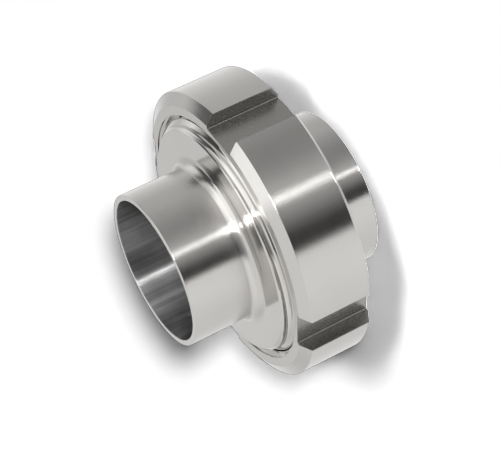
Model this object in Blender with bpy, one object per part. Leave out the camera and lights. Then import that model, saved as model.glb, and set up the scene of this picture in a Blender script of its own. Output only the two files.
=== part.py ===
"""Screwed sanitary union, DN 40 round-thread dairy pattern.

Four turned pieces share one axis: a liner with a cone collar, a slotted nut that
hooks behind the collar, a threaded male part, and a seal ring in the male part's
face.  The union stands on the liner's weld end, with +Z along the bore.  Sizes below
are in millimetres; the meshes are in metres.

Radii are built outwards from the bore, wall by wall, and heights upwards from the
liner's weld end, so the pieces keep fitting each other when one size is changed.
"""
import math

import bpy

MM = 0.001

# Driving dimensions: tube and bore
BORE_RADIUS = 19.0
TUBE_WALL = 1.5
LINER_LENGTH = 26.0
MALE_LENGTH = 33.0

# Driving dimensions: seal and centring cone
SEAL_LIP = 2.0
GROOVE_WIDTH = 5.0
GROOVE_DEPTH = 4.7
RECESS_LEDGE = 0.7
CONE_ANGLE = math.radians(15.0)
CONE_DEPTH = 6.0
COLLAR_HEIGHT = 8.2

# Driving dimensions: male body
SKIRT_WALL = 2.0
BODY_HEIGHT = 14.6
HUB_FILLET = 4.0
CREST_BELOW_HUB = 2.5

# Driving dimensions: round thread, six turns to the inch
THREAD_PITCH = 25.4 / 6.0
FLANK_ANGLE = math.radians(15.0)

# Driving dimensions: nut
NUT_RIM = 6.5
NUT_HEIGHT = 20.0
NUT_CHAMFER = 1.8
CHAMFER_SLOPE = math.radians(30.0)
LIP_THICKNESS = 4.7
RELIEF_HEIGHT = 2.6
RELIEF_STEP = 0.35
MOUTH_STEP = 0.75
MOUTH_EDGE = 0.5
SLOT_COUNT = 4
SLOT_WIDTH = 10.8
SLOT_DEPTH = 4.4

# Driving dimensions: liner neck
NECK_STEP = 3.2
NECK_SHOWING = 2.0

# Clearances and small edges
FIT_GAP = 0.3
EDGE_BREAK = 0.3

# Fineness of the meshes
COLUMNS = 60
ROWS_PER_PITCH = 9
FILLET_STEPS = 5
SEAL_STEPS = 8

# Radii, from the bore outwards
tube_radius = BORE_RADIUS + TUBE_WALL
groove_inner = BORE_RADIUS + SEAL_LIP
groove_outer = groove_inner + GROOVE_WIDTH
recess_floor_radius = groove_outer + RECESS_LEDGE
recess_mouth_radius = recess_floor_radius + (CONE_DEPTH + FIT_GAP) * math.tan(CONE_ANGLE)
collar_radius = recess_mouth_radius - FIT_GAP / math.cos(CONE_ANGLE)
thread_depth = THREAD_PITCH / 2.0
thread_minor = recess_mouth_radius + SKIRT_WALL
thread_major = thread_minor + thread_depth
nut_radius = thread_major + NUT_RIM
nut_face_radius = nut_radius - NUT_CHAMFER / math.tan(CHAMFER_SLOPE)
relief_radius = thread_major + FIT_GAP / 2.0 + RELIEF_STEP
mouth_radius = thread_major + FIT_GAP / 2.0 + MOUTH_STEP
slot_floor_radius = nut_radius - SLOT_DEPTH
neck_radius = tube_radius + NECK_STEP
lip_radius = neck_radius + FIT_GAP

# Heights, from the liner's weld end upwards
collar_back = LINER_LENGTH - COLLAR_HEIGHT
male_base = LINER_LENGTH - CONE_DEPTH
recess_floor = LINER_LENGTH + FIT_GAP
groove_ceiling = recess_floor + GROOVE_DEPTH
hub_face = male_base + BODY_HEIGHT
male_top = male_base + MALE_LENGTH
lip_top = collar_back - FIT_GAP
nut_base = lip_top - LIP_THICKNESS
nut_top = nut_base + NUT_HEIGHT
relief_top = lip_top + RELIEF_HEIGHT
neck_base = nut_base - NECK_SHOWING
crest_height = hub_face - CREST_BELOW_HUB


def clear_scene():
    """Remove whatever objects the scene holds."""
    for item in list(bpy.data.objects):
        bpy.data.objects.remove(item, do_unlink=True)


def finish(name, colour, metallic, roughness):
    """A plain Principled material for one piece."""
    material = bpy.data.materials.new(name)
    material.use_nodes = True
    shader = material.node_tree.nodes["Principled BSDF"]
    shader.inputs["Base Color"].default_value = (*colour, 1.0)
    shader.inputs["Metallic"].default_value = metallic
    shader.inputs["Roughness"].default_value = roughness
    return material


def arc(centre_radius, centre_height, radius, start, end, steps):
    """Points of a round stretch of a profile, both ends included, angles in degrees."""
    points = []
    for step in range(steps + 1):
        angle = math.radians(start + (end - start) * step / steps)
        points.append((centre_radius + radius * math.cos(angle),
                       centre_height + radius * math.sin(angle)))
    return points


def turned(name, rings, base, material):
    """One closed piece of revolution whose datum is on the axis at height base.

    Rings run round the section anticlockwise, with radius to the right and height up,
    and the last joins the first.  A ring is a radius and a height; the radius of a
    threaded ring is a function of the angle.
    """
    vertices = []
    for radius, height in rings:
        for column in range(COLUMNS):
            angle = 2.0 * math.pi * column / COLUMNS
            reach = radius(angle) if callable(radius) else radius
            vertices.append((reach * math.cos(angle) * MM,
                             reach * math.sin(angle) * MM,
                             (height - base) * MM))
    faces = []
    for row in range(len(rings)):
        here = row * COLUMNS
        above = (row + 1) % len(rings) * COLUMNS
        for column in range(COLUMNS):
            beside = (column + 1) % COLUMNS
            faces.append((here + column, here + beside, above + beside, above + column))
    mesh = bpy.data.meshes.new(name)
    mesh.from_pydata(vertices, [], faces)
    mesh.validate()
    mesh.shade_smooth()
    mesh.set_sharp_from_angle(angle=math.radians(30.0))
    mesh.materials.append(material)
    piece = bpy.data.objects.new(name, mesh)
    piece.location.z = base * MM
    bpy.context.collection.objects.link(piece)
    return piece


def round_thread(angle, height, setback):
    """Radius of the round thread, set back into the metal of the male part.

    Crest and root are arcs of one radius, joined by flanks at FLANK_ANGLE to the
    radial direction.  A negative setback gives the nut's side of the same thread.
    """
    across = math.cos(FLANK_ANGLE)
    round_radius = thread_depth * (1.0 - math.tan(FLANK_ANGLE)) / (
        2.0 * (across - math.tan(FLANK_ANGLE) * (1.0 - math.sin(FLANK_ANGLE))))
    from_crest = height - crest_height - THREAD_PITCH * angle / (2.0 * math.pi)
    from_crest = abs((from_crest / THREAD_PITCH + 0.5) % 1.0 - 0.5) * THREAD_PITCH
    crest_round = round_radius - setback
    root_round = round_radius + setback
    crest_centre = thread_major - round_radius
    root_centre = thread_minor + round_radius
    from_root = THREAD_PITCH / 2.0 - from_crest
    if from_crest <= crest_round * across:
        return crest_centre + math.sqrt(crest_round ** 2 - from_crest ** 2)
    if from_root <= root_round * across:
        return root_centre - math.sqrt(root_round ** 2 - from_root ** 2)
    flank_top = crest_centre + crest_round * math.sin(FLANK_ANGLE)
    return flank_top - (from_crest - crest_round * across) / math.tan(FLANK_ANGLE)


def rows_between(low, high):
    """Heights of the thread's rows from low to high, both included."""
    count = math.ceil((high - low) / THREAD_PITCH * ROWS_PER_PITCH)
    return [low + (high - low) * row / count for row in range(count + 1)]


def male_thread_ring(height):
    """One row of the male thread, held inside the cones at its two ends."""
    setback = FIT_GAP / 2.0
    from_end = min(height - male_base, hub_face - height)
    limit = thread_minor - setback - EDGE_BREAK + from_end

    def radius(angle):
        return min(round_thread(angle, height, setback), limit)

    return radius, height


def nut_thread_ring(height):
    """One row of the nut's thread, opened by its mouth's edge and cone and its relief."""
    setback = -FIT_GAP / 2.0
    mouth_cone = mouth_radius - max(0.0, nut_top - MOUTH_EDGE - height)
    relief_cone = relief_radius - (height - relief_top)
    limit = max(mouth_cone, relief_cone)

    def radius(angle):
        return max(round_thread(angle, height, setback), limit)

    return radius, height


def make_liner(material):
    """Weld tube, neck that the nut turns on, and the collar with its centring cone."""
    fillet = arc(neck_radius, neck_base - NECK_STEP, NECK_STEP, 180.0, 90.0, FILLET_STEPS)
    cone_top = recess_floor_radius + FIT_GAP * (math.tan(CONE_ANGLE) - 1.0 / math.cos(CONE_ANGLE))
    rings = [(BORE_RADIUS, 0.0), (tube_radius, 0.0)]
    rings += fillet
    rings += [(neck_radius, collar_back),
              (collar_radius - EDGE_BREAK, collar_back),
              (collar_radius, collar_back + EDGE_BREAK),
              (collar_radius, male_base),
              (cone_top + EDGE_BREAK * math.tan(CONE_ANGLE), LINER_LENGTH - EDGE_BREAK),
              (cone_top - EDGE_BREAK, LINER_LENGTH),
              (BORE_RADIUS, LINER_LENGTH)]
    return turned("liner", rings, 0.0, material)


def make_male_part(material):
    """Weld tube and threaded body, with the cone recess and the seal groove below."""
    root = thread_minor - FIT_GAP / 2.0
    rings = [(recess_mouth_radius, male_base)]
    rings += [male_thread_ring(height)
              for height in rows_between(male_base, hub_face - EDGE_BREAK)]
    rings += [(root - EDGE_BREAK, hub_face)]
    rings += arc(tube_radius + HUB_FILLET, hub_face + HUB_FILLET, HUB_FILLET,
                 270.0, 180.0, FILLET_STEPS)
    rings += [(tube_radius, male_top),
              (BORE_RADIUS, male_top),
              (BORE_RADIUS, recess_floor),
              (groove_inner, recess_floor),
              (groove_inner, groove_ceiling),
              (groove_outer, groove_ceiling),
              (groove_outer, recess_floor),
              (recess_floor_radius, recess_floor)]
    return turned("male_part", rings, male_base, material)


def make_seal_ring(material):
    """D-section ring: flat against the groove's ceiling, round towards the liner."""
    inner = groove_inner + FIT_GAP
    outer = groove_outer - FIT_GAP
    nose = (outer - inner) / 2.0
    top = groove_ceiling - FIT_GAP
    rings = arc(inner + nose, recess_floor + nose, nose, 180.0, 360.0, SEAL_STEPS)
    rings += [(outer, top - EDGE_BREAK), (outer - EDGE_BREAK, top),
              (inner + EDGE_BREAK, top), (inner, top - EDGE_BREAK)]
    return turned("seal_ring", rings, recess_floor, material)


def make_slot_cutter(index):
    """A bar that mills one spanner slot through the nut's rim."""
    reach = NUT_RIM
    length = NUT_HEIGHT + 2.0 * NUT_CHAMFER
    near, far = slot_floor_radius, nut_radius + reach
    corners = [(x * MM, y * MM, z * MM)
               for x in (near, far)
               for y in (-SLOT_WIDTH / 2.0, SLOT_WIDTH / 2.0)
               for z in (-length / 2.0, length / 2.0)]
    faces = [(0, 1, 3, 2), (4, 6, 7, 5), (0, 4, 5, 1), (2, 3, 7, 6), (0, 2, 6, 4), (1, 5, 7, 3)]
    mesh = bpy.data.meshes.new("slot_cutter")
    mesh.from_pydata(corners, [], faces)
    cutter = bpy.data.objects.new(f"slot_cutter_{index}", mesh)
    cutter.location.z = (nut_base + NUT_HEIGHT / 2.0) * MM
    cutter.rotation_euler.z = 2.0 * math.pi * index / SLOT_COUNT
    cutter.hide_render = True
    cutter.display_type = "WIRE"
    bpy.context.collection.objects.link(cutter)
    return cutter


def make_union_nut(material):
    """Round nut: chamfered rim, lip that pulls the collar, thread, and spanner slots."""
    rings = [(lip_radius + EDGE_BREAK, nut_base),
             (nut_face_radius, nut_base),
             (nut_radius, nut_base + NUT_CHAMFER),
             (nut_radius, nut_top - NUT_CHAMFER),
             (nut_face_radius, nut_top)]
    rings += [nut_thread_ring(height) for height in reversed(rows_between(relief_top, nut_top))]
    rings += [(relief_radius, lip_top), (lip_radius, lip_top), (lip_radius, nut_base + EDGE_BREAK)]
    nut = turned("union_nut", rings, nut_base, material)
    for index in range(SLOT_COUNT):
        cut = nut.modifiers.new(f"spanner_slot_{index}", "BOOLEAN")
        cut.operation = "DIFFERENCE"
        cut.solver = "EXACT"
        cut.object = make_slot_cutter(index)
    return nut


def make_union():
    """All four pieces, parented to one empty on the union's axis."""
    clear_scene()
    turned_steel = finish("turned stainless steel", (0.66, 0.65, 0.63), 1.0, 0.24)
    polished_steel = finish("polished stainless steel", (0.68, 0.67, 0.65), 1.0, 0.16)
    nut_steel = finish("stainless nut steel", (0.64, 0.63, 0.61), 1.0, 0.28)
    seal_rubber = finish("black seal rubber", (0.02, 0.02, 0.022), 0.0, 0.55)
    axis = bpy.data.objects.new("union_axis", None)
    bpy.context.collection.objects.link(axis)
    pieces = [make_liner(turned_steel),
              make_union_nut(nut_steel),
              make_male_part(polished_steel),
              make_seal_ring(seal_rubber)]
    for piece in pieces:
        piece.parent = axis


make_union()
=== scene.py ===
# %% [markdown]
# # Dressing a sanitary union
# Dairies and breweries join their pipes with unions like this one, because it comes
# apart for cleaning in a few turns of its nut.  It is four round pieces on one axis:
# a threaded male part, a slotted round nut, a collared liner and a rubber seal ring.
#
# The CAD model already holds their true sizes.  We load it as a fixed frame, turn each
# piece again as a finer mesh with softened edges, and give every surface the finish
# that its making left.

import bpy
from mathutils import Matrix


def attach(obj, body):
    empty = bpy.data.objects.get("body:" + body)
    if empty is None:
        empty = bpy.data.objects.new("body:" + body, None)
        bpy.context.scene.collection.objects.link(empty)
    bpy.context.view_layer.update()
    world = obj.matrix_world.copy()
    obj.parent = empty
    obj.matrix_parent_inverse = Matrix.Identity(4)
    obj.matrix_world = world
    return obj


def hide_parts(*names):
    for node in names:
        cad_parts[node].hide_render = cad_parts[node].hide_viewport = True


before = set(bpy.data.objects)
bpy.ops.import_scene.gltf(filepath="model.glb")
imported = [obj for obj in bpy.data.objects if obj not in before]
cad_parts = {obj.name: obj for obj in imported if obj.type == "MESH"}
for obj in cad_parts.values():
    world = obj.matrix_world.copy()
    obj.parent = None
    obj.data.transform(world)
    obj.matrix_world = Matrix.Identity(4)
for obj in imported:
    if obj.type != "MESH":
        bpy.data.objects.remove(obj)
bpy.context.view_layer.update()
print("CAD pieces:", ", ".join(sorted(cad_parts)))

# %% [markdown]
# ## Sizes come from the frame
# Every CAD vertex lies on some circle round the bore, so a radius and a height say all
# about it.  Reading them here, instead of typing them again, keeps this lesson fitting
# its frame.  Only small details that the CAD doesn't name stay as values of our own.

# %% Read the main sizes
import math

import bpy
from mathutils import Matrix, Vector

MM = 0.001
SAME_LEVEL = 0.02


def corners(node):
    """Radius and height of every vertex of a CAD piece, in millimetres."""
    return [(math.hypot(point.co.x, point.co.y) / MM, point.co.z / MM)
            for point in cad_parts[node].data.vertices]


def heights(node):
    """Lowest and highest level of a CAD piece."""
    levels = [height for radius, height in corners(node)]
    return min(levels), max(levels)


def radii(node, level=None):
    """Smallest and largest radius of a CAD piece, at one level or anywhere."""
    found = [radius for radius, height in corners(node)
             if level is None or abs(height - level) < SAME_LEVEL]
    return min(found), max(found)


male_base, male_top = heights("male_part")
nut_base, nut_top = heights("union_nut")
liner_base, liner_top = heights("liner")
seal_base, seal_top = heights("seal_ring")
bore_radius, tube_radius = radii("male_part", male_top)
mouth_radius, nut_face_radius = radii("union_nut", nut_top)
lip_radius, nut_radius = radii("union_nut")
collar_radius = radii("liner")[1]
seal_inner, seal_outer = radii("seal_ring")
recess_mouth_radius = radii("male_part", male_base)[0]
print(f"tube {2 * tube_radius:.1f} mm, bore {2 * bore_radius:.1f} mm, nut {2 * nut_radius:.1f} mm")
print(f"length {male_top - liner_base:.1f} mm, nut from {nut_base:.1f} to {nut_top:.1f} mm")

# %% [markdown]
# ## The small sizes
# These are the details of the pattern, in millimetres: fillets, chamfers, the groove
# round the seal and the slots that a hook spanner grips.  A clearance of 0.3 mm stands
# for every running fit.  A lathe tool leaves no true knife edge, so each corner gets a
# small round.  The hub's face is found from the frame: any vertex that lies well
# outside the fillet belongs to the hub, and the highest of them lie on its face.

# %% Name the details
FIT_GAP = 0.3
HUB_FILLET = 2.8
NECK_STEP = 3.2
NECK_SHOWING = 2.0
COLLAR_HEIGHT = 8.2
CONE_ANGLE = math.radians(15.0)
NUT_CHAMFER = 1.8
LIP_THICKNESS = 4.7
RELIEF_HEIGHT = 2.6
RELIEF_RADIUS = 33.0
SLOT_COUNT = 4
SLOT_WIDTH = 10.8
SLOT_DEPTH = 4.4
SLOT_CORNER = 0.35
SLOT_DEBURR = 0.12
EDGE_ROUND = 0.2
WELD_EDGE_ROUND = 0.12
RIM_ROUND = 0.06
MOUTH_EDGE = 0.5
FILLET_CLEAR = 5.0

neck_radius = tube_radius + NECK_STEP
neck_base = nut_base - NECK_SHOWING
collar_back = liner_top - COLLAR_HEIGHT
lip_top = nut_base + LIP_THICKNESS
relief_top = lip_top + RELIEF_HEIGHT
recess_floor = liner_top + FIT_GAP
recess_floor_radius = recess_mouth_radius - (recess_floor - male_base) * math.tan(CONE_ANGLE)
groove_inner = seal_inner - FIT_GAP
groove_outer = seal_outer + FIT_GAP
groove_ceiling = seal_top + FIT_GAP
hub_face = max(height for radius, height in corners("male_part")
               if radius > tube_radius + FILLET_CLEAR)
print(f"hub face at {hub_face:.1f} mm, recess floor {recess_floor:.1f} mm")

# %% [markdown]
# ## Colours as they are written
# Designers write colours as hex, which is how a screen shows them.  Cycles counts light,
# so each hex value is turned to linear once, by one function.

# %% Turn hex to linear colour


def linear(hex_colour):
    """An sRGB hex colour as a linear RGBA tuple."""
    channels = [int(hex_colour[place:place + 2], 16) / 255.0 for place in (1, 3, 5)]
    turned = [value / 12.92 if value <= 0.04045 else ((value + 0.055) / 1.055) ** 2.4
              for value in channels]
    return (*turned, 1.0)


STAINLESS = "#C8C6C3"
print("stainless base colour:", [round(value, 3) for value in linear(STAINLESS)])

# %% [markdown]
# ## One helper for every node
# A shader tree is a list of nodes with settings and links.  One function adds any of
# them, so that each material below reads like a recipe.

# %% Add shader nodes


def add_node(tree, kind, inputs=None, **settings):
    """Add a node, set its properties, and fill inputs with values or with sockets."""
    node = tree.nodes.new(kind)
    for name, value in settings.items():
        setattr(node, name, value)
    for name, value in (inputs or {}).items():
        if isinstance(value, bpy.types.NodeSocket):
            tree.links.new(value, node.inputs[name])
        else:
            node.inputs[name].default_value = value
    return node


def new_material(name):
    """An empty node material and its output node."""
    material = bpy.data.materials.new(name)
    material.use_nodes = True
    material.node_tree.nodes.clear()
    return material, add_node(material.node_tree, "ShaderNodeOutputMaterial")


print("node helper ready")

# %% [markdown]
# ## Lathe marks
# A lathe tool cuts one long spiral groove, so every turned surface carries fine rings
# round the axis.  They do two things to the light.  Across the rings a reflection is
# smeared, along them it stays sharp: that is anisotropy, with the tangent running round
# the axis and the smear turned a quarter from it.  And single scratches, a few
# millimetres long, catch the light beside each highlight.
#
# The marks need a place on the surface that follows the rings: the direction round the
# axis, and the distance travelled across the rings, which is radius plus height on any
# face, cylinder or cone.  The feed of such a finishing cut is about 0.05 mm, which is a
# fifth of a pixel here, so the rings that are drawn are four to six times as coarse.

# %% Find the way out from the axis


def out_from_axis(tree, place):
    """The way from the axis to a place, in full length and as a bare direction."""
    outward = add_node(tree, "ShaderNodeVectorMath", {0: place, 1: (1.0, 1.0, 0.0)},
                       operation="MULTIPLY").outputs["Vector"]
    direction = add_node(tree, "ShaderNodeVectorMath", {0: outward},
                         operation="NORMALIZE").outputs["Vector"]
    return outward, direction


print("the axis of every finish is z")

# %% Place lathe marks on a surface


def lathe_place(tree, place, streak, spacing):
    """Coordinates for marks streak mm long round the tube and spacing mm across."""
    outward, direction = out_from_axis(tree, place)
    radius = add_node(tree, "ShaderNodeVectorMath", {0: outward},
                      operation="LENGTH").outputs["Value"]
    height = add_node(tree, "ShaderNodeSeparateXYZ", {"Vector": place}).outputs["Z"]
    across = add_node(tree, "ShaderNodeMath", {0: radius, 1: height},
                      operation="ADD").outputs["Value"]
    rings = add_node(tree, "ShaderNodeMath", {0: across, 1: 1.0 / (spacing * MM)},
                     operation="MULTIPLY").outputs["Value"]
    streaks = add_node(tree, "ShaderNodeVectorMath",
                       {0: direction, "Scale": tube_radius / streak},
                       operation="SCALE").outputs["Vector"]
    level = add_node(tree, "ShaderNodeCombineXYZ", {"Z": rings}).outputs["Vector"]
    return add_node(tree, "ShaderNodeVectorMath", {0: streaks, 1: level},
                    operation="ADD").outputs["Vector"]


print("lathe marks follow radius plus height")

# %% [markdown]
# ## Stainless steel, turned and ground
# The metal is austenitic stainless steel.  It is a warm pale grey that returns a little
# under six tenths of the light, and it keeps the default IOR because metallic
# reflection ignores it.  The finishes differ only in how rough their cut is, how strongly
# the rings smear the light, and how long and how deep their scratches are, so one recipe
# makes them all.
#
# Two more things keep it from looking like plastic.  Handling leaves soft clouds about
# 9 mm wide, a little duller and rougher than the rest.  And the belt that grinds such a
# tube leaves a grain of about 0.06 mm, drawn here 0.2 mm wide, because anything finer
# than that is lost inside one pixel.  A noise stays mostly between 0.35 and 0.7, so each
# Map Range node below picks its share out of that stretch.

# %% A recipe for turned steel
CLOUD_SIZE = 9.0
GRAIN_SIZE = 0.2
DULLER = 0.94


def turned_steel(name, roughness, anisotropy, scratch, streak, spacing, depth, grain):
    """Stainless steel with lathe rings, short scratches round the axis and a fine grain."""
    material, output = new_material(name)
    tree = material.node_tree
    place = add_node(tree, "ShaderNodeTexCoord").outputs["Object"]
    marks = lathe_place(tree, place, streak, spacing)
    scratches = add_node(tree, "ShaderNodeTexNoise",
                         {"Vector": marks, "Scale": 1.0, "Detail": 2.0,
                          "Roughness": 0.6}).outputs["Fac"]
    cloud = add_node(tree, "ShaderNodeTexNoise",
                     {"Vector": place, "Scale": 1.0 / (CLOUD_SIZE * MM),
                      "Detail": 3.0}).outputs["Fac"]
    speckle = add_node(tree, "ShaderNodeTexNoise",
                       {"Vector": place, "Scale": 1.0 / (GRAIN_SIZE * MM),
                        "Detail": 1.0}).outputs["Fac"]
    scratched = add_node(tree, "ShaderNodeMapRange",
                         {"Value": scratches, "From Min": 0.42, "From Max": 0.72,
                          "To Min": roughness,
                          "To Max": roughness + scratch}).outputs["Result"]
    handled = add_node(tree, "ShaderNodeMapRange",
                       {"Value": cloud, "From Min": 0.35, "From Max": 0.7,
                        "To Min": -0.01, "To Max": 0.015}).outputs["Result"]
    rough = add_node(tree, "ShaderNodeMath", {0: scratched, 1: handled},
                     operation="ADD").outputs["Value"]
    clean = Vector(linear(STAINLESS))
    tone = add_node(tree, "ShaderNodeMix",
                    {"Factor": cloud, "A": clean * DULLER, "B": clean},
                    data_type="RGBA").outputs["Result"]
    grained = add_node(tree, "ShaderNodeBump",
                       {"Height": speckle, "Strength": 1.0,
                        "Distance": grain * MM}).outputs["Normal"]
    bump = add_node(tree, "ShaderNodeBump",
                    {"Height": scratches, "Strength": 1.0, "Distance": depth * MM,
                     "Normal": grained}).outputs["Normal"]
    tangent = add_node(tree, "ShaderNodeTangent", direction_type="RADIAL",
                       axis="Z").outputs["Tangent"]
    shader = add_node(tree, "ShaderNodeBsdfPrincipled",
                      {"Base Color": tone, "Metallic": 1.0, "Roughness": rough,
                       "Anisotropic": anisotropy, "Anisotropic Rotation": 0.25,
                       "Normal": bump, "Tangent": tangent})
    tree.links.new(shader.outputs["BSDF"], output.inputs["Surface"])
    return material


print("one recipe for all turned steel")

# %% [markdown]
# ## Six finishes from one recipe
# The tube is belt ground after turning, so its highlights spread and its grain shows.
# The hub is cut finely and mirrors its neighbours.  The thread is cut finer still and
# carries no grain, so every crest draws a crisp line.  The outside of the nut is turned
# like the tube but keeps less grain, its front rim is faced with a coarse feed and looks
# matt, and the liner is turned like the nut.

# %% Make the six finishes
ground_steel = turned_steel("ground_stainless_tube", roughness=0.16, anisotropy=0.85, scratch=0.05,
                            streak=3.0, spacing=0.22, depth=0.0004, grain=0.015)
hub_steel = turned_steel("turned_stainless_hub", roughness=0.1, anisotropy=0.7, scratch=0.03,
                         streak=9.0, spacing=0.3, depth=0.0003, grain=0.003)
thread_steel = turned_steel("cut_stainless_thread", roughness=0.08, anisotropy=0.5, scratch=0.02,
                            streak=9.0, spacing=0.3, depth=0.0, grain=0.0)
nut_steel = turned_steel("turned_stainless_nut", roughness=0.16, anisotropy=0.85, scratch=0.05,
                         streak=4.0, spacing=0.25, depth=0.0004, grain=0.011)
faced_steel = turned_steel("faced_stainless_rim", roughness=0.36, anisotropy=0.3, scratch=0.05,
                           streak=4.0, spacing=0.25, depth=0.0004, grain=0.01)
liner_steel = turned_steel("turned_stainless_liner", roughness=0.17, anisotropy=0.85, scratch=0.05,
                           streak=4.0, spacing=0.25, depth=0.0004, grain=0.011)
for finish in (ground_steel, hub_steel, thread_steel, nut_steel, faced_steel, liner_steel):
    print("finish:", finish.name)

# %% [markdown]
# ## The bore, with painted streaks and painted shade
# The inside is painted darker than the ground outside, as painted shade in the bore, and
# its bright lines along the bore are painted reflections.  The lines are noise that depends
# only on the direction round the axis, and each has its own brightness.  Its scale of 4.5
# makes bands about 4 mm wide in this bore, and the finer layers of the noise split them
# down to a quarter of a millimetre, which is one pixel.  Pickling adds faint clouds about
# 6 mm wide.  The lines only change the brightness: reflections are still smeared along the
# bore, as they are on the outside.

# %% A recipe for drawn steel
LINES_ROUND = 4.5
PICKLE_SIZE = 6.0
PICKLE_SHARE = 0.25


def drawn_steel(name, dark, bright, roughness):
    """Stainless steel painted darker as shade, with bright painted reflection streaks along the axis,
    and reflections smeared along them.
    """
    material, output = new_material(name)
    tree = material.node_tree
    place = add_node(tree, "ShaderNodeTexCoord").outputs["Object"]
    direction = out_from_axis(tree, place)[1]
    # bright streaks along the bore: painted reflections
    lines = add_node(tree, "ShaderNodeTexNoise",
                     {"Vector": direction, "Scale": LINES_ROUND, "Detail": 4.0,
                      "Roughness": 0.72}).outputs["Fac"]
    cloud = add_node(tree, "ShaderNodeTexNoise",
                     {"Vector": place, "Scale": 1.0 / (PICKLE_SIZE * MM),
                      "Detail": 4.0}).outputs["Fac"]
    both = add_node(tree, "ShaderNodeMath", {0: cloud, 1: PICKLE_SHARE, 2: lines},
                    operation="MULTIPLY_ADD").outputs["Value"]
    share = add_node(tree, "ShaderNodeMapRange",
                     {"Value": both, "From Min": 0.52, "From Max": 0.9}).outputs["Result"]
    # the dark tone is painted shade in the bore, the bright tone is painted reflection
    tone = add_node(tree, "ShaderNodeMix",
                    {"Factor": share, "A": linear(dark), "B": linear(bright)},
                    data_type="RGBA").outputs["Result"]
    tangent = add_node(tree, "ShaderNodeTangent", direction_type="RADIAL",
                       axis="Z").outputs["Tangent"]
    shader = add_node(tree, "ShaderNodeBsdfPrincipled",
                      {"Base Color": tone, "Metallic": 1.0, "Roughness": roughness,
                       "Anisotropic": 1.0, "Anisotropic Rotation": 0.25,
                       "Tangent": tangent})
    tree.links.new(shader.outputs["BSDF"], output.inputs["Surface"])
    return material


# the bore is painted darker as shade, with painted reflection streaks along it
bore_steel = drawn_steel("stainless_bore_painted_streaks", dark="#858585", bright="#D2D2D1", roughness=0.3)
print("finish:", bore_steel.name)

# %% [markdown]
# ## Milled slots
# The four slots were milled across the rim, so their marks are short arcs and chatter,
# with no ring round the axis.  A fine grainy noise stands for them, and the surface is
# rougher than the turned one.  Its colour is a little darker, as painted shade in the
# slots.  Real chatter marks lie about 0.1 mm apart and are drawn 0.6 mm apart, so that
# they show.

# %% A recipe for milled steel
CHATTER_SIZE = 0.6
CHATTER_DEPTH = 0.01


def milled_steel(name, colour, roughness):
    """Stainless steel as a milling cutter leaves it."""
    material, output = new_material(name)
    tree = material.node_tree
    place = add_node(tree, "ShaderNodeTexCoord").outputs["Object"]
    chatter = add_node(tree, "ShaderNodeTexNoise",
                       {"Vector": place, "Scale": 1.0 / (CHATTER_SIZE * MM), "Detail": 3.0,
                        "Roughness": 0.65}).outputs["Fac"]
    rough = add_node(tree, "ShaderNodeMapRange",
                     {"Value": chatter, "From Min": 0.35, "From Max": 0.65,
                      "To Min": roughness - 0.06,
                      "To Max": roughness + 0.1}).outputs["Result"]
    bump = add_node(tree, "ShaderNodeBump",
                    {"Height": chatter, "Strength": 1.0,
                     "Distance": CHATTER_DEPTH * MM}).outputs["Normal"]
    shader = add_node(tree, "ShaderNodeBsdfPrincipled",
                      {"Base Color": linear(colour), "Metallic": 1.0, "Roughness": rough,
                       "Normal": bump})
    tree.links.new(shader.outputs["BSDF"], output.inputs["Surface"])
    return material


# the slot colour is darker than the turned steel: painted shade in the slots
slot_steel = milled_steel("milled_stainless_slot_painted_shade", colour="#A19F9C", roughness=0.3)
print("finish:", slot_steel.name)

# %% [markdown]
# ## Moulded rubber
# The seal is black food-grade rubber, pressed in a polished mould.  It is a plain
# dielectric with a soft sheen, and a faint orange-peel texture of 0.8 mm breaks its
# highlights.

# %% A recipe for moulded rubber
PEEL_SIZE = 0.8
PEEL_DEPTH = 0.02


def moulded_rubber(name, colour):
    """Black rubber from a smooth mould."""
    material, output = new_material(name)
    tree = material.node_tree
    place = add_node(tree, "ShaderNodeTexCoord").outputs["Object"]
    peel = add_node(tree, "ShaderNodeTexNoise",
                    {"Vector": place, "Scale": 1.0 / (PEEL_SIZE * MM),
                     "Detail": 2.0}).outputs["Fac"]
    rough = add_node(tree, "ShaderNodeMapRange",
                     {"Value": peel, "To Min": 0.42, "To Max": 0.6}).outputs["Result"]
    bump = add_node(tree, "ShaderNodeBump",
                    {"Height": peel, "Strength": 0.6,
                     "Distance": PEEL_DEPTH * MM}).outputs["Normal"]
    shader = add_node(tree, "ShaderNodeBsdfPrincipled",
                      {"Base Color": linear(colour), "IOR": 1.52, "Roughness": rough,
                       "Normal": bump})
    tree.links.new(shader.outputs["BSDF"], output.inputs["Surface"])
    return material


seal_rubber = moulded_rubber("moulded_black_rubber", colour="#1E1E20")
print("finish:", seal_rubber.name)

# %% [markdown]
# ## Turning a piece
# All four pieces are bodies of revolution, so each starts as a section: a list of radii
# and heights, run anticlockwise.  Two helpers draw the round stretches.  `soften` cuts
# each corner back, by four tenths of a side at most, and bends a short curve through the
# gap, and `arc` draws a fillet.
# Blender's Screw modifier could spin the section, but a thread's radius changes with the
# angle, so we lay the rings down ourselves and every piece shares one function.  With
# 288 points to a ring, a facet of the nut is 0.85 mm wide, and smooth shading hides it.

# %% Section helpers
ROUND_STEPS = 3
SIDE_SHARE = 0.4


def soften(points, size=EDGE_ROUND):
    """An open section line with every corner between its two ends rounded."""
    line = [Vector(point) for point in points]
    softened = [tuple(line[0])]
    for before, corner, after in zip(line, line[1:], line[2:]):
        back, ahead = before - corner, after - corner
        turn = math.pi - back.angle(ahead)
        reach = size * math.tan(turn / 2.0)
        reach = min(reach, SIDE_SHARE * back.length, SIDE_SHARE * ahead.length)
        start = corner + back.normalized() * reach
        end = corner + ahead.normalized() * reach
        for step in range(ROUND_STEPS + 1):
            share = step / ROUND_STEPS
            point = start.lerp(corner, share).lerp(corner.lerp(end, share), share)
            softened.append(tuple(point))
    softened.append(tuple(line[-1]))
    return softened


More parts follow.
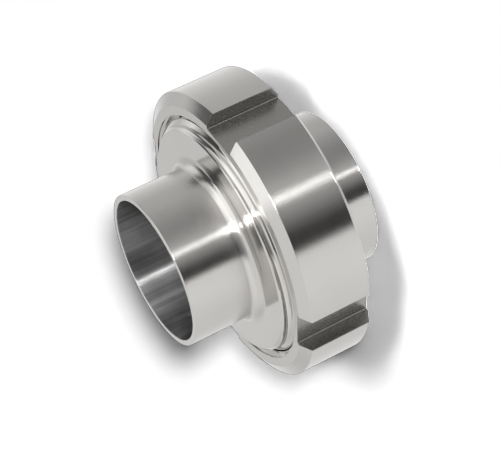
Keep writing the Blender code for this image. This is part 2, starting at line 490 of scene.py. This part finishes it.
def arc(centre_radius, centre_height, size, start, end, steps):
    """Points of a round stretch of a section, both ends included, angles in degrees."""
    angles = [math.radians(start + (end - start) * step / steps) for step in range(steps + 1)]
    return [(centre_radius + size * math.cos(angle), centre_height + size * math.sin(angle))
            for angle in angles]


print("a softened corner takes", ROUND_STEPS + 1, "points")

# %% Shade and paint a piece
SHARP_ANGLE = math.radians(38.0)


def shade(piece):
    """Smooth shading that keeps flats flat and true corners sharp."""
    piece.data.shade_smooth()
    piece.data.set_sharp_from_angle(angle=SHARP_ANGLE)
    normals = piece.modifiers.new("flat_faces_stay_flat", "WEIGHTED_NORMAL")
    normals.keep_sharp = True
    print(piece.name, "has", len(piece.data.polygons), "faces")


def paint(piece, finish, chosen):
    """Give a finish to the faces whose radius and height in mm pass a test."""
    piece.data.materials.append(finish)
    index = len(piece.data.materials) - 1
    for face in piece.data.polygons:
        middle = face.center / MM
        if chosen(math.hypot(middle.x, middle.y), middle.z):
            face.material_index = index


print("corners over", round(math.degrees(SHARP_ANGLE)), "degrees stay sharp")

# %% Turn a section into a piece
COLUMNS = 288


def turn_piece(name, rings, finish):
    """A closed body of revolution; a ring is (radius, height), or a radius by angle."""
    vertices = []
    for radius, height in rings:
        for column in range(COLUMNS):
            angle = 2.0 * math.pi * column / COLUMNS
            reach = radius(angle) if callable(radius) else radius
            vertices.append((reach * math.cos(angle) * MM, reach * math.sin(angle) * MM,
                             height * MM))
    faces = []
    for row in range(len(rings)):
        here, above = row * COLUMNS, (row + 1) % len(rings) * COLUMNS
        for column in range(COLUMNS):
            beside = (column + 1) % COLUMNS
            faces.append((here + column, here + beside, above + beside, above + column))
    mesh = bpy.data.meshes.new(name)
    mesh.from_pydata(vertices, [], faces)
    mesh.validate()
    piece = bpy.data.objects.new(name, mesh)
    bpy.context.scene.collection.objects.link(piece)
    mesh.materials.append(finish)
    shade(piece)
    return piece


print("every ring has", COLUMNS, "points")

# %% [markdown]
# ## The round thread
# Dairy unions use a round thread, six turns to the inch, because its wide round roots
# wash clean.  Crest and root are arcs of one radius, joined by straight flanks.  One
# function gives its radius at any angle and height, for both pieces: the male thread is
# set back into its metal by half the clearance, and the nut's thread the other way.

# %% The thread's form
THREAD_PITCH = 25.4 / 6.0
THREAD_MAJOR = 32.5
FLANK_ANGLE = math.radians(15.0)
CREST_BELOW_HUB = 2.5
ROWS_PER_PITCH = 24
thread_depth = THREAD_PITCH / 2.0
thread_minor = THREAD_MAJOR - thread_depth
crest_height = hub_face - CREST_BELOW_HUB
across, rise, lean = math.cos(FLANK_ANGLE), math.sin(FLANK_ANGLE), math.tan(FLANK_ANGLE)
thread_round = thread_depth * (1.0 - lean) / (2.0 * (across - lean * (1.0 - rise)))


def round_thread(angle, height, setback):
    """Radius of the thread; a negative setback gives the nut's side of it."""
    turns = (height - crest_height) / THREAD_PITCH - angle / (2.0 * math.pi)
    from_crest = abs((turns + 0.5) % 1.0 - 0.5) * THREAD_PITCH
    from_root = THREAD_PITCH / 2.0 - from_crest
    crest_round, root_round = thread_round - setback, thread_round + setback
    if from_crest <= crest_round * across:
        return THREAD_MAJOR - thread_round + math.sqrt(crest_round ** 2 - from_crest ** 2)
    if from_root <= root_round * across:
        return thread_minor + thread_round - math.sqrt(root_round ** 2 - from_root ** 2)
    flank_top = THREAD_MAJOR - thread_round + crest_round * rise
    return flank_top - (from_crest - crest_round * across) / lean


def thread_levels(low, high):
    """Heights of the thread's rows, evenly spaced from low to high."""
    count = math.ceil((high - low) / THREAD_PITCH * ROWS_PER_PITCH)
    return [low + (high - low) * row / count for row in range(count + 1)]


print(f"thread {2 * THREAD_MAJOR:.0f} mm across, one turn every {THREAD_PITCH:.2f} mm")
print(f"its crests and roots have a radius of {thread_round:.2f} mm")

# %% [markdown]
# ## The threaded male part
# This is the piece in front: a thin tube that will be welded to the line, a fillet, the
# flat face of the hub, and the thread below it.  Its underside holds the cone that
# centres the liner and the groove for the seal.  The thread is cut right through both
# rims, and a 45 degree chamfer takes the burr off each, so two cones limit the radius
# that the thread's rows may reach.
#
# The tube is ground, but the belt can't reach into the corner, so the hub's own finish
# runs half a millimetre up the fillet.  The finish of a face is chosen by where its
# middle lies.

# %% Turn the male part
RIM_CHAMFER = 0.22
FILLET_STEPS = 12
male_root = thread_minor - FIT_GAP / 2.0


def male_row(height):
    """One ring of the male thread inside the chamfers of its two rims."""
    limit = male_root - RIM_CHAMFER + min(height - male_base, hub_face - height)
    return (lambda angle: min(round_thread(angle, height, FIT_GAP / 2.0), limit)), height


def turn_male_part():
    """The weld tube, hub and thread as one body."""
    rings = [male_row(height) for height in thread_levels(male_base, hub_face - RIM_CHAMFER)]
    rings += soften([(male_root, hub_face - RIM_CHAMFER), (male_root - RIM_CHAMFER, hub_face),
                     (tube_radius + HUB_FILLET, hub_face)], RIM_ROUND)[1:-1]
    rings += arc(tube_radius + HUB_FILLET, hub_face + HUB_FILLET, HUB_FILLET, 270.0, 180.0,
                 FILLET_STEPS)
    tube_end = [(tube_radius, hub_face + HUB_FILLET), (tube_radius, male_top),
                (bore_radius, male_top), (bore_radius, recess_floor)]
    rings += soften(tube_end, WELD_EDGE_ROUND)[1:-1]
    rings += soften([(bore_radius, male_top), (bore_radius, recess_floor),
                     (groove_inner, recess_floor), (groove_inner, groove_ceiling),
                     (groove_outer, groove_ceiling), (groove_outer, recess_floor),
                     (recess_floor_radius, recess_floor),
                     (recess_mouth_radius, male_base),
                     (male_root - RIM_CHAMFER, male_base)])[1:-1]
    return turn_piece("male_part_fine", rings, ground_steel)


male_part = turn_male_part()

# %% Give the male part its finishes
HUB_FINISH_RISE = 0.5
BORE_SKIN = 0.3
RIM_SKIN = 0.1

paint(male_part, hub_steel,
      lambda radius, height: height < hub_face + HUB_FINISH_RISE and radius > bore_radius + BORE_SKIN)
paint(male_part, thread_steel,
      lambda radius, height: height < hub_face and radius > recess_mouth_radius + RIM_SKIN)
paint(male_part, bore_steel, lambda radius, height: radius < bore_radius + BORE_SKIN)
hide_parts("male_part")
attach(male_part, "male")
print("male part wears", len(male_part.data.materials), "finishes")

# %% [markdown]
# ## The liner
# The liner is the quiet piece: a weld tube, a neck that the nut turns on, and a collar
# that the nut's lip pulls up into the male part.  Only its tube shows from the front,
# but its neck shows from behind, so the fillet between them is drawn in full.

# %% Turn the liner


def turn_liner():
    """Weld tube, neck and cone-nosed collar as one body."""
    cone_top = recess_floor_radius - FIT_GAP * (1.0 / math.cos(CONE_ANGLE) - math.tan(CONE_ANGLE))
    cone_foot = cone_top + (liner_top - male_base) * math.tan(CONE_ANGLE)
    foot = [(bore_radius, liner_top), (bore_radius, liner_base), (tube_radius, liner_base),
            (tube_radius, neck_base - NECK_STEP)]
    rings = soften(foot, WELD_EDGE_ROUND)[1:-1]
    rings += arc(neck_radius, neck_base - NECK_STEP, NECK_STEP, 180.0, 90.0, FILLET_STEPS)
    rings += soften([(neck_radius, neck_base), (neck_radius, collar_back),
                     (collar_radius, collar_back), (cone_foot, male_base),
                     (cone_top, liner_top), (bore_radius, liner_top),
                     (bore_radius, liner_base)])[1:-1]
    return turn_piece("liner_fine", rings, liner_steel)


liner = turn_liner()
paint(liner, bore_steel, lambda radius, height: radius < bore_radius + BORE_SKIN)
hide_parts("liner")
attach(liner, "liner")
print("liner wears", len(liner.data.materials), "finishes")

# %% [markdown]
# ## The seal ring
# The ring is D-shaped: its flat back sits in the groove and its round nose meets the
# liner's face, so no gap is left where product could lodge.

# %% Turn the seal ring
NOSE_STEPS = 24


def turn_seal_ring():
    """Flat-backed rubber ring with a round nose downwards."""
    nose = (seal_outer - seal_inner) / 2.0
    rings = arc(seal_inner + nose, seal_base + nose, nose, 180.0, 360.0, NOSE_STEPS)
    rings += soften([(seal_outer, seal_base + nose), (seal_outer, seal_top),
                     (seal_inner, seal_top), (seal_inner, seal_base + nose)])[1:-1]
    return turn_piece("seal_ring_fine", rings, seal_rubber)


seal_ring = turn_seal_ring()
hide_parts("seal_ring")
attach(seal_ring, "male")
print("seal ring is", round(seal_top - seal_base, 1), "mm high")

# %% [markdown]
# ## The slotted nut
# The nut is turned from bar with a long shallow chamfer at each end, a lip that hooks
# behind the liner's collar, and the thread.  Its mouth is a short straight step and then
# a cone that lets the male thread start.

# %% Turn the nut blank


def nut_row(height):
    """One ring of the nut's thread, opened by the mouth cone and the relief cone."""
    mouth_cone = mouth_radius - (nut_top - MOUTH_EDGE - height)
    relief_cone = RELIEF_RADIUS - (height - relief_top)
    limit = max(mouth_cone, relief_cone)
    return (lambda angle: max(round_thread(angle, height, -FIT_GAP / 2.0), limit)), height


def turn_nut():
    """The nut before its slots are milled."""
    mouth_foot = nut_top - MOUTH_EDGE
    rings = soften([(lip_radius, lip_top), (lip_radius, nut_base),
                    (nut_face_radius, nut_base), (nut_radius, nut_base + NUT_CHAMFER),
                    (nut_radius, nut_top - NUT_CHAMFER), (nut_face_radius, nut_top),
                    (mouth_radius, nut_top)])[1:-1]
    rings += soften([(nut_face_radius, nut_top), (mouth_radius, nut_top),
                     (mouth_radius, mouth_foot)], RIM_ROUND)[1:-1]
    rings += [nut_row(height) for height in reversed(thread_levels(relief_top, mouth_foot))]
    rings += soften([(RELIEF_RADIUS, relief_top), (RELIEF_RADIUS, lip_top),
                     (lip_radius, lip_top), (lip_radius, nut_base)])[1:-1]
    return turn_piece("union_nut_fine", rings, nut_steel)


nut = turn_nut()

# %% [markdown]
# ## Milling the slots
# Each slot is one pass of a cutter along the axis: a flat floor, two straight walls and
# a tiny round where they meet.  The file that takes off the burr flares the slot's mouth
# a little.  We draw that outline once, extrude it past both faces at four places, and
# let one exact Boolean cut all four, taking the cutter's finish into the slots.

# %% Draw the outline of a slot
CUTTER_OUT = 3.0


def slot_outline():
    """Half-open outline of a slot seen along the axis, x outwards, anticlockwise."""
    floor, half = nut_radius - SLOT_DEPTH, SLOT_WIDTH / 2.0
    rim = math.sqrt(nut_radius ** 2 - half ** 2) - SLOT_DEBURR
    far = nut_radius + CUTTER_OUT
    upper = soften([(far, half + far - rim), (rim, half), (floor, half), (floor, 0.0)],
                   SLOT_CORNER)[:-1]
    lower = [(x, -y) for x, y in reversed(upper)]
    return upper + lower


print("a slot's outline has", len(slot_outline()), "points")

# %% Make the cutter
CUTTER_PAST = 2.0


def make_slot_cutter():
    """Four bars through the rim, one for each slot."""
    outline = slot_outline()
    count = len(outline)
    vertices, faces = [], []
    for index in range(SLOT_COUNT):
        spin = Matrix.Rotation(2.0 * math.pi * index / SLOT_COUNT, 3, "Z")
        first = len(vertices)
        for height in (nut_base - CUTTER_PAST, nut_top + CUTTER_PAST):
            vertices += [spin @ Vector((x, y, height)) * MM for x, y in outline]
        faces.append([first + place for place in reversed(range(count))])
        faces.append([first + count + place for place in range(count)])
        for place in range(count):
            after = (place + 1) % count
            faces.append([first + place, first + after,
                          first + count + after, first + count + place])
    mesh = bpy.data.meshes.new("slot_cutter")
    mesh.from_pydata(vertices, [], faces)
    mesh.materials.append(slot_steel)
    cutter = bpy.data.objects.new("slot_cutter", mesh)
    bpy.context.scene.collection.objects.link(cutter)
    return cutter


cutter = make_slot_cutter()
print("cutter has", len(cutter.data.polygons), "faces")

# %% Mill four spanner slots


def mill(piece, cutter):
    """Cut a piece with a cutter, keep the result as its mesh, and drop the cutter."""
    piece.modifiers.clear()
    piece.data.materials.append(slot_steel)
    cut = piece.modifiers.new("milled", "BOOLEAN")
    cut.operation = "DIFFERENCE"
    cut.solver = "EXACT"
    cut.material_mode = "TRANSFER"
    cut.object = cutter
    solved = piece.evaluated_get(bpy.context.evaluated_depsgraph_get())
    milled = bpy.data.meshes.new_from_object(solved)
    piece.modifiers.clear()
    piece.data = milled
    bpy.data.objects.remove(cutter, do_unlink=True)
    shade(piece)


mill(nut, cutter)

# %% [markdown]
# ## The finishes of the nut
# The front rim was faced with a coarser feed than the outside, and the thread and the
# step at the mouth were cut with the thread tool.  Both are chosen by place again, with
# a hair of room for rounding.

# %% Give the nut its finishes
HAIR = 0.01

paint(nut, faced_steel,
      lambda radius, height: abs(height - nut_top) < HAIR and radius > mouth_radius)
paint(nut, thread_steel,
      lambda radius, height: lip_top < height < nut_top - HAIR and radius < mouth_radius + 2.0 * HAIR)
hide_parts("union_nut")
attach(nut, "nut")
print("nut wears", len(nut.data.materials), "finishes")

# %% [markdown]
# ## The camera
# The photograph was taken close by with a long lens, and the union leans in the picture.
# Here the union stands on its weld end, so the camera leans instead: it looks slightly
# down at the union and is rolled far over.  Angles are counted round the bore from +X,
# and the reach is the distance from the bore's axis, in millimetres.

# %% Place the camera
CAMERA_AZIMUTH = math.radians(-37.11)
CAMERA_REACH = 435.6
CAMERA_HEIGHT = 175.1
CAMERA_DIP = math.radians(19.01)
CAMERA_ROLL = math.radians(-115.54)
CAMERA_LENS = 131.0
CLIP_START = 10.0


def place_camera():
    """A camera that looks at the bore's axis from its azimuth, leaning by its roll."""
    camera = bpy.data.objects.new("camera", bpy.data.cameras.new("camera"))
    bpy.context.scene.collection.objects.link(camera)
    camera.data.lens = CAMERA_LENS
    camera.data.clip_start = CLIP_START * MM
    level = Vector((math.cos(CAMERA_AZIMUTH), math.sin(CAMERA_AZIMUTH), 0.0))
    look = -level * math.cos(CAMERA_DIP) - Vector((0.0, 0.0, math.sin(CAMERA_DIP)))
    side = look.cross(Vector((0.0, 0.0, 1.0))).normalized()
    over = side.cross(look)
    right = side * math.cos(CAMERA_ROLL) + over * math.sin(CAMERA_ROLL)
    up = right.cross(look)
    turned = Matrix((right, up, -look)).transposed().to_4x4()
    place = level * CAMERA_REACH * MM + Vector((0.0, 0.0, CAMERA_HEIGHT * MM))
    camera.matrix_world = Matrix.Translation(place) @ turned
    bpy.context.scene.camera = camera
    return camera


camera = place_camera()
print("camera at", [round(value, 3) for value in camera.matrix_world.translation])

# %% [markdown]
# ## A floor that keeps the shadow
# The union stands on white paper that fills the picture.  A shadow catcher is the
# simplest such paper: it shows the white world behind it, darkened only where the union
# takes light away.  The floor is hidden from reflections, because the round sides would
# otherwise mirror nothing but paper, and it lies a hair below the weld end, so that the
# two don't share a plane.

# %% Lay the floor
FLOOR_SIZE = 6.0
FLOOR_DROP = 0.02


def lay_floor():
    """A large sheet under the weld end that shows only shadow."""
    half = FLOOR_SIZE / 2.0
    mesh = bpy.data.meshes.new("floor")
    mesh.from_pydata([(-half, -half, 0.0), (half, -half, 0.0), (half, half, 0.0),
                      (-half, half, 0.0)], [], [(0, 1, 2, 3)])
    floor = bpy.data.objects.new("floor", mesh)
    bpy.context.scene.collection.objects.link(floor)
    floor.location.z = -FLOOR_DROP * MM
    material, output = new_material("white_paper")
    shader = add_node(material.node_tree, "ShaderNodeBsdfDiffuse", {"Color": linear("#F4F4F4")})
    material.node_tree.links.new(shader.outputs["BSDF"], output.inputs["Surface"])
    mesh.materials.append(material)
    floor.is_shadow_catcher = True
    floor.visible_glossy = False
    return floor


floor = lay_floor()
print("floor is", FLOOR_SIZE, "m wide")

# %% [markdown]
# ## The white studio
# Polished steel has no look of its own: it shows the room.  The room here is white, at a
# strength of one for everything that sees it directly or in a mirror.  It sheds almost
# no light of its own, because light from all sides would wash the shadow off the paper.
# What is matt is lit by the two lamps at the end.

# %% Paint the world white
SHED_LIGHT = 0.01


def paint_world(shed_light):
    """White to camera, mirror and glass, and shed_light to matt surfaces."""
    world = bpy.data.worlds.new("white_studio")
    bpy.context.scene.world = world
    world.use_nodes = True
    tree = world.node_tree
    tree.nodes.clear()
    path = add_node(tree, "ShaderNodeLightPath").outputs
    seen = add_node(tree, "ShaderNodeMath",
                    {0: path["Is Camera Ray"], 1: path["Is Glossy Ray"]}, operation="ADD")
    seen = add_node(tree, "ShaderNodeMath",
                    {0: seen.outputs["Value"], 1: path["Is Transmission Ray"]},
                    operation="ADD", use_clamp=True)
    strength = add_node(tree, "ShaderNodeMapRange",
                        {"Value": seen.outputs["Value"], "To Min": shed_light, "To Max": 1.0})
    light = add_node(tree, "ShaderNodeBackground",
                     {"Color": linear("#FFFFFF"), "Strength": strength.outputs["Result"]})
    output = add_node(tree, "ShaderNodeOutputWorld")
    tree.links.new(light.outputs["Background"], output.inputs["Surface"])


paint_world(SHED_LIGHT)
print("world is white")

# %% [markdown]
# ## Cards round the union
# Polished steel is drawn by what stands round it.  A curved wall of paper goes all the
# way round, lit more at some places than at others: it falls to a dark card beside the
# lens, with a hard edge, and to a calm grey on the other side.  Its light is given as
# stops by azimuth, counted from the camera's, so the wall reads like a colour ramp.
# Cards are seen only in the steel, never by the camera.

# %% Hang a card from rows of points
CARD_DISTANCE = 1.2


def hang_card(name, rows, lights):
    """A sheet through rows of points, each point with its own light."""
    width = len(rows[0])
    faces = [(row * width + place, row * width + place + 1,
              (row + 1) * width + place + 1, (row + 1) * width + place)
             for row in range(len(rows) - 1) for place in range(width - 1)]
    mesh = bpy.data.meshes.new(name)
    mesh.from_pydata([point for row in rows for point in row], [], faces)
    given = mesh.attributes.new("light", "FLOAT", "POINT")
    given.data.foreach_set("value", [light for row in lights for light in row])
    material, output = new_material(name)
    tree = material.node_tree
    strength = add_node(tree, "ShaderNodeAttribute", attribute_name="light").outputs["Fac"]
    light = add_node(tree, "ShaderNodeEmission", {"Strength": strength})
    tree.links.new(light.outputs["Emission"], output.inputs["Surface"])
    mesh.materials.append(material)
    card = bpy.data.objects.new(name, mesh)
    bpy.context.scene.collection.objects.link(card)
    card.visible_camera = False
    card.visible_diffuse = False
    card.visible_shadow = False
    return card


def toward(azimuth, elevation, distance=CARD_DISTANCE):
    """A point on an upright cylinder, its azimuth counted from the camera's."""
    turn = CAMERA_AZIMUTH + math.radians(azimuth)
    return Vector((math.cos(turn), math.sin(turn),
                   math.tan(math.radians(elevation)))) * distance


print("cards hang", CARD_DISTANCE, "m away")

# %% Put up the wall
LOW_STOPS = [(-180, 0.88), (-132, 0.9), (-96, 0.96), (-60, 1.08), (-33.6, 1.06), (-32.4, 0.06),
             (-20, 0.06), (-15, 0.14), (-5, 0.36), (2, 0.5), (14, 0.62), (24, 0.44),
             (34, 0.34), (48, 0.34), (62, 0.44), (84, 0.62), (108, 0.69), (120, 0.78),
             (137, 0.9), (157, 1.0), (180, 0.9)]
MIDDLE_STOPS = [(-180, 0.9), (-168, 0.82), (-150, 0.74), (-132, 0.9), (-100, 1.1), (-42, 1.18),
                (-34, 0.25), (-14, 0.28), (4, 0.6), (16, 1.4), (30, 1.6), (52, 1.8), (68, 1.0),
                (86, 0.9), (92, 0.15), (102, 0.15), (112, 1.0), (130, 1.2), (145, 0.75),
                (158, 0.7), (180, 0.85)]
HIGH_STOPS = [(-180, 0.85), (-132, 1.0), (-52, 1.0), (-40, 0.45), (-5, 0.5), (6, 1.8),
              (76, 1.8), (90, 0.6), (96, 0.08), (142, 0.12), (150, 0.75), (180, 0.85)]
WALL_LEVELS = [(-60, LOW_STOPS), (-6, LOW_STOPS), (10, MIDDLE_STOPS), (26, MIDDLE_STOPS),
               (38, HIGH_STOPS), (56, HIGH_STOPS)]


def read_stops(stops, azimuth):
    """Light between the two stops beside an azimuth."""
    for (left, before), (right, after) in zip(stops, stops[1:]):
        if left <= azimuth <= right:
            return before + (after - before) * (azimuth - left) / (right - left)


def put_up_wall():
    """A round wall with its own light at three heights."""
    azimuths = range(-180, 181)
    rows = [[toward(azimuth, elevation) for azimuth in azimuths]
            for elevation, stops in WALL_LEVELS]
    lights = [[read_stops(stops, azimuth) for azimuth in azimuths]
              for elevation, stops in WALL_LEVELS]
    return hang_card("studio_wall", rows, lights)


wall = put_up_wall()
print("wall has", len(wall.data.polygons), "sheets of paper")

# %% [markdown]
# ## The strip lamp
# A narrow lamp stands upright just right of the lens and draws the bright line that runs
# down every round side.  Its two far ends are much stronger than its middle.  The smooth
# outside hardly sees them, but the rough bore gathers them into the line inside.

# %% Hang the strip lamp
STRIP_DISTANCE = 1.1
STRIP_STEPS = 4
STRIP_LEVELS = [(-78, 200.0), (-52, 200.0), (-44, 3.3), (8, 3.3), (20, 36.0), (70, 36.0)]


def hang_strip(left, right):
    """A narrow upright lamp between two azimuths, with its own light at each elevation."""
    azimuths = [left + (right - left) * step / STRIP_STEPS for step in range(STRIP_STEPS + 1)]
    rows = [[toward(azimuth, elevation, STRIP_DISTANCE) for azimuth in azimuths]
            for elevation, light in STRIP_LEVELS]
    lights = [[light] * len(azimuths) for elevation, light in STRIP_LEVELS]
    return hang_card("strip_lamp", rows, lights)


hang_strip(left=6.0, right=8.9)
print("strip lamp", STRIP_DISTANCE, "m away")

# %% [markdown]
# ## The soft box
# One level card overhead is mirrored by what faces up: the fillet, the chamfers and the
# hub.  Its sides are given in metres from the bore's axis.

# %% Hang the soft box overhead
BOX_HEIGHT = 1.0


def hang_soft_box(near, far, left, right, light):
    """A level lit card overhead; x runs towards the camera and y to its azimuth +90."""
    spin = Matrix.Rotation(CAMERA_AZIMUTH, 3, "Z")
    rows = [[spin @ Vector((x, y, BOX_HEIGHT)) for y in (left, right)] for x in (near, far)]
    return hang_card("soft_box", rows, [[light] * 2] * 2)


hang_soft_box(near=0.45, far=-0.42, left=0.05, right=0.62, light=1.55)
print("soft box", BOX_HEIGHT, "m up")

# %% [markdown]
# ## The lamps that draw the shadow
# One soft lamp sits just beside the lens, so the union hides most of its own shadow and a
# soft dark rim is left below the tube.  A second and weaker one, with a narrow cone,
# hangs in front of the union and drops the nut's shadow round the foot of the liner.
# Steel would mirror both as spots, so mirrors don't see them.  Places and sizes are in
# millimetres, power in watts and spread in degrees.

# %% Hang the shadow lamps


def hang_lamp(name, place, size, power, spread):
    """A round area lamp at a place in millimetres, aimed at the foot of the union."""
    data = bpy.data.lights.new(name, "AREA")
    data.shape = "DISK"
    data.size = size * MM
    data.energy = power
    data.spread = math.radians(spread)
    lamp = bpy.data.objects.new(name, data)
    bpy.context.scene.collection.objects.link(lamp)
    lamp.location = place * MM
    lamp.rotation_euler = (-place).to_track_quat("-Z", "Y").to_euler()
    lamp.visible_camera = False
    lamp.visible_glossy = False
    return lamp


beside_lens = camera.matrix_world @ Vector((3.0 * MM, 16.0 * MM, 0.0)) / MM
hang_lamp("lens_lamp", beside_lens, size=28.0, power=1.2, spread=180.0)
in_front = Matrix.Rotation(CAMERA_AZIMUTH, 3, "Z") @ Vector((212.0, 66.0, 200.0))
hang_lamp("front_lamp", in_front, size=120.0, power=0.07, spread=24.0)
print("two shadow lamps hang")

# %% [markdown]
# ## Colour management
# Standard view keeps a white of one at white.

# %% Finish
bpy.context.scene.view_settings.view_transform = "Standard"
bpy.context.view_layer.update()
